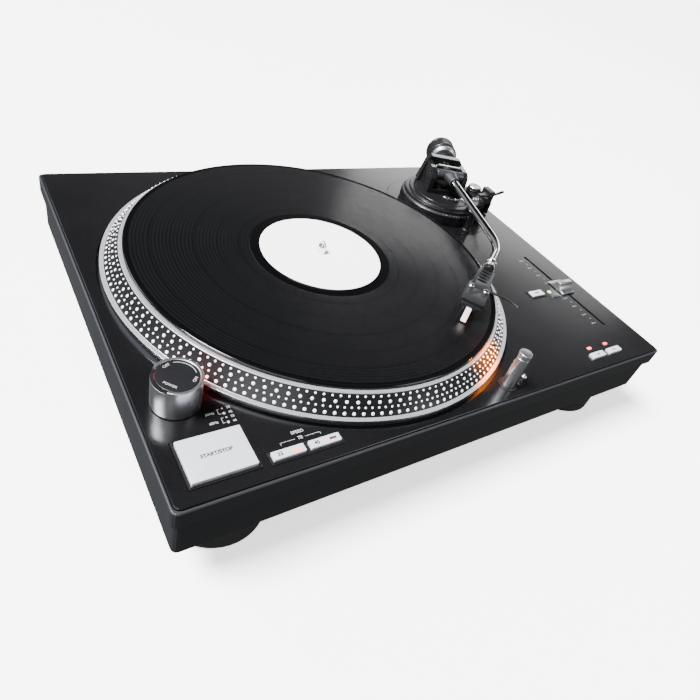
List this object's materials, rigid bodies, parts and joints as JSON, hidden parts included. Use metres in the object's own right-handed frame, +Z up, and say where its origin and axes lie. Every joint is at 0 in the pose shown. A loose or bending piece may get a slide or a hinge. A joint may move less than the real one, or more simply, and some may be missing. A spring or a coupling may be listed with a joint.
{
  "type": "turntable record player",
  "caption": "Direct-drive record player with an S-shaped tonearm, strobe-dotted platter, pitch fader, pop-up target light, push keys and rubber feet.",
  "frame": {"origin": "on the surface it stands on, under the middle of the cabinet", "axes": "+X to the operator's right, +Y to the back, +Z up"},
  "size_m": [0.45, 0.352, 0.1335],
  "materials": {
    "cabinet_paint": "satin",
    "base_black": "matte",
    "black_plastic": "satin",
    "foot_rubber": "matte",
    "platter_silver": "satin",
    "key_silver": "satin",
    "chrome": "polished",
    "arm_gunmetal": "satin",
    "headshell_grey": "satin",
    "weight_black": "satin",
    "dial_silver": "satin",
    "vinyl": "gloss",
    "label_paper": "matte",
    "mat_felt": "matte",
    "circuit_board": "satin",
    "plain_steel": "satin",
    "ferrite": "matte",
    "dark_bronze": "satin",
    "stylus_grey": "satin",
    "red_lens": "gloss",
    "amber_lens": "gloss",
    "green_lens": "gloss"
  },
  "bodies": {
    "chassis": {"cabinet_frame": "cabinet_paint", "top_panel": "cabinet_paint", "arm_plate": "cabinet_paint", "base_tray": "base_black", "start_stop_bezel": "black_plastic", "speed_bezel": "black_plastic", "reset_bezel": "black_plastic", "target_socket": "black_plastic", "pitch_track": "black_plastic", "strobe_core": "black_plastic", "arm_rest_post": "black_plastic", "mains_inlet": "black_plastic", "output_panel": "black_plastic", "foot_front_left": "foot_rubber", "foot_front_right": "foot_rubber", "foot_rear_left": "foot_rubber", "foot_rear_right": "foot_rubber", "main_board": "circuit_board", "motor_stator": "plain_steel", "transformer": "plain_steel", "strobe_lens": "red_lens", "range_led_left": "red_lens", "range_led_right": "red_lens", "reset_led": "green_lens"},
    "power_knob": {"power_knob": "key_silver"},
    "start_stop_key": {"start_stop_key": "key_silver"},
    "key_33": {"key_33": "key_silver"},
    "key_45": {"key_45": "key_silver"},
    "reset_key": {"reset_key": "key_silver"},
    "range_key_left": {"range_key_left": "key_silver"},
    "range_key_right": {"range_key_right": "key_silver"},
    "target_light": {"target_light": "chrome", "target_lens": "amber_lens"},
    "target_release_pin": {"target_release_pin": "chrome"},
    "pitch_cap": {"pitch_cap": "key_silver"},
    "platter": {"platter": "platter_silver", "spindle": "chrome", "rotor_magnet": "ferrite", "slipmat": "mat_felt", "record": "vinyl", "record_label": "label_paper"},
    "height_ring": {"height_ring": "black_plastic"},
    "arm_base": {"arm_base": "black_plastic"},
    "antiskate_dial": {"antiskate_dial": "dial_silver"},
    "cue_lever": {"cue_lever": "black_plastic"},
    "cue_lift": {"cue_lift": "chrome"},
    "arm_yoke": {"arm_yoke": "black_plastic", "gimbal_ring": "chrome"},
    "tonearm": {"arm_hub": "arm_gunmetal", "arm_tube": "chrome", "headshell": "headshell_grey", "headshell_screw_left": "chrome", "headshell_screw_right": "chrome", "finger_lift": "dark_bronze", "cartridge": "black_plastic", "stylus": "stylus_grey"},
    "locking_collar": {"locking_collar": "chrome"},
    "counterweight": {"counterweight": "weight_black"},
    "weight_dial": {"weight_dial": "dial_silver"},
    "arm_rest_clip": {"arm_rest_clip": "black_plastic"}
  },
  "joints": [
    {"name": "power_knob_turn", "type": "hinge", "parent": "chassis", "child": "power_knob", "pos_m": [-0.19969, -0.10412, 0.081], "axis": [0, 0, 1], "range_deg": [0, 60]},
    {"name": "start_stop_key_press", "type": "slide", "parent": "chassis", "child": "start_stop_key", "axis": [0, 0, -1], "range_m": [0, 0.0015], "stiffness_N_per_m": 400, "springref_m": -0.002},
    {"name": "key_33_press", "type": "slide", "parent": "chassis", "child": "key_33", "axis": [0, 0, -1], "range_m": [0, 0.0015], "stiffness_N_per_m": 400, "springref_m": -0.002},
    {"name": "key_45_press", "type": "slide", "parent": "chassis", "child": "key_45", "axis": [0, 0, -1], "range_m": [0, 0.0015], "stiffness_N_per_m": 400, "springref_m": -0.002},
    {"name": "reset_key_press", "type": "slide", "parent": "chassis", "child": "reset_key", "axis": [0, 0, -1], "range_m": [0, 0.0015], "stiffness_N_per_m": 400, "springref_m": -0.002},
    {"name": "range_key_left_press", "type": "slide", "parent": "chassis", "child": "range_key_left", "axis": [0, 0, -1], "range_m": [0, 0.0015], "stiffness_N_per_m": 400, "springref_m": -0.002},
    {"name": "range_key_right_press", "type": "slide", "parent": "chassis", "child": "range_key_right", "axis": [0, 0, -1], "range_m": [0, 0.0015], "stiffness_N_per_m": 400, "springref_m": -0.002},
    {"name": "target_light_drop", "type": "slide", "parent": "chassis", "child": "target_light", "axis": [0, 0, -1], "range_m": [0, 0.0326], "stiffness_N_per_m": 20, "springref_m": -0.03},
    {"name": "target_release_press", "type": "slide", "parent": "chassis", "child": "target_release_pin", "axis": [0, 0, -1], "range_m": [0, 0.0015], "stiffness_N_per_m": 300, "springref_m": -0.002},
    {"name": "pitch_slide", "type": "slide", "parent": "chassis", "child": "pitch_cap", "axis": [0, 1, 0], "range_m": [-0.0545, 0.0505]},
    {"name": "platter_spin", "type": "hinge", "parent": "chassis", "child": "platter", "pos_m": [-0.0474, -0.0014, 0.081], "axis": [0, 0, -1], "continuous": true},
    {"name": "height_ring_turn", "type": "hinge", "parent": "chassis", "child": "height_ring", "pos_m": [0.15579, 0.08527, 0.081], "axis": [0, 0, 1], "range_deg": [0, 240]},
    {"name": "arm_base_rise", "type": "slide", "parent": "chassis", "child": "arm_base", "axis": [0, 0, 1], "range_m": [0, 0.006]},
    {"name": "antiskate_turn", "type": "hinge", "parent": "arm_base", "child": "antiskate_dial", "pos_m": [0.20409, 0.08597, 0.103], "axis": [0, 0, -1], "range_deg": [0, 270]},
    {"name": "cue_lever_turn", "type": "hinge", "parent": "arm_base", "child": "cue_lever", "pos_m": [0.20519, 0.06897, 0.097], "axis": [-1, 0, 0], "range_deg": [0, 60]},
    {"name": "cue_lift_rise", "type": "slide", "parent": "arm_base", "child": "cue_lift", "axis": [0, 0, 1], "range_m": [0, 0.0065]},
    {"name": "arm_swing", "type": "hinge", "parent": "arm_base", "child": "arm_yoke", "pos_m": [0.15579, 0.08527, 0.081], "axis": [0, 0, -1], "range_deg": [-18.3, 20.7]},
    {"name": "arm_tilt", "type": "hinge", "parent": "arm_yoke", "child": "tonearm", "pos_m": [0.15579, 0.08527, 0.1175], "axis": [-0.9272, 0.3746, 0], "range_deg": [0, 8]},
    {"name": "collar_turn", "type": "hinge", "parent": "tonearm", "child": "locking_collar", "pos_m": [0.07864, -0.06789, 0.1175], "axis": [-0.8181, -0.575, 0], "range_deg": [0, 90]},
    {"name": "weight_slide", "type": "slide", "parent": "tonearm", "child": "counterweight", "axis": [0.4848, 0.8746, 0], "range_m": [-0.003, 0.006]},
    {"name": "weight_dial_turn", "type": "hinge", "parent": "counterweight", "child": "weight_dial", "pos_m": [0.15579, 0.08527, 0.1175], "axis": [0.4848, 0.8746, 0], "range_deg": [-432, 864]},
    {"name": "rest_clip_swing", "type": "hinge", "parent": "chassis", "child": "arm_rest_clip", "pos_m": [0.16211, 0.03397, 0.1231], "axis": [0, 1, 0], "range_deg": [0, 110]}
  ],
  "couplings": [
    {"joint": "height_ring_turn", "follows": "arm_base_rise", "rad_per_m": 698.06},
    {"joint": "cue_lever_turn", "follows": "arm_tilt", "ratio": 7.5},
    {"joint": "cue_lift_rise", "follows": "arm_tilt", "m_per_rad": 0.046548},
    {"joint": "weight_dial_turn", "follows": "weight_slide", "rad_per_m": 2513}
  ]
}
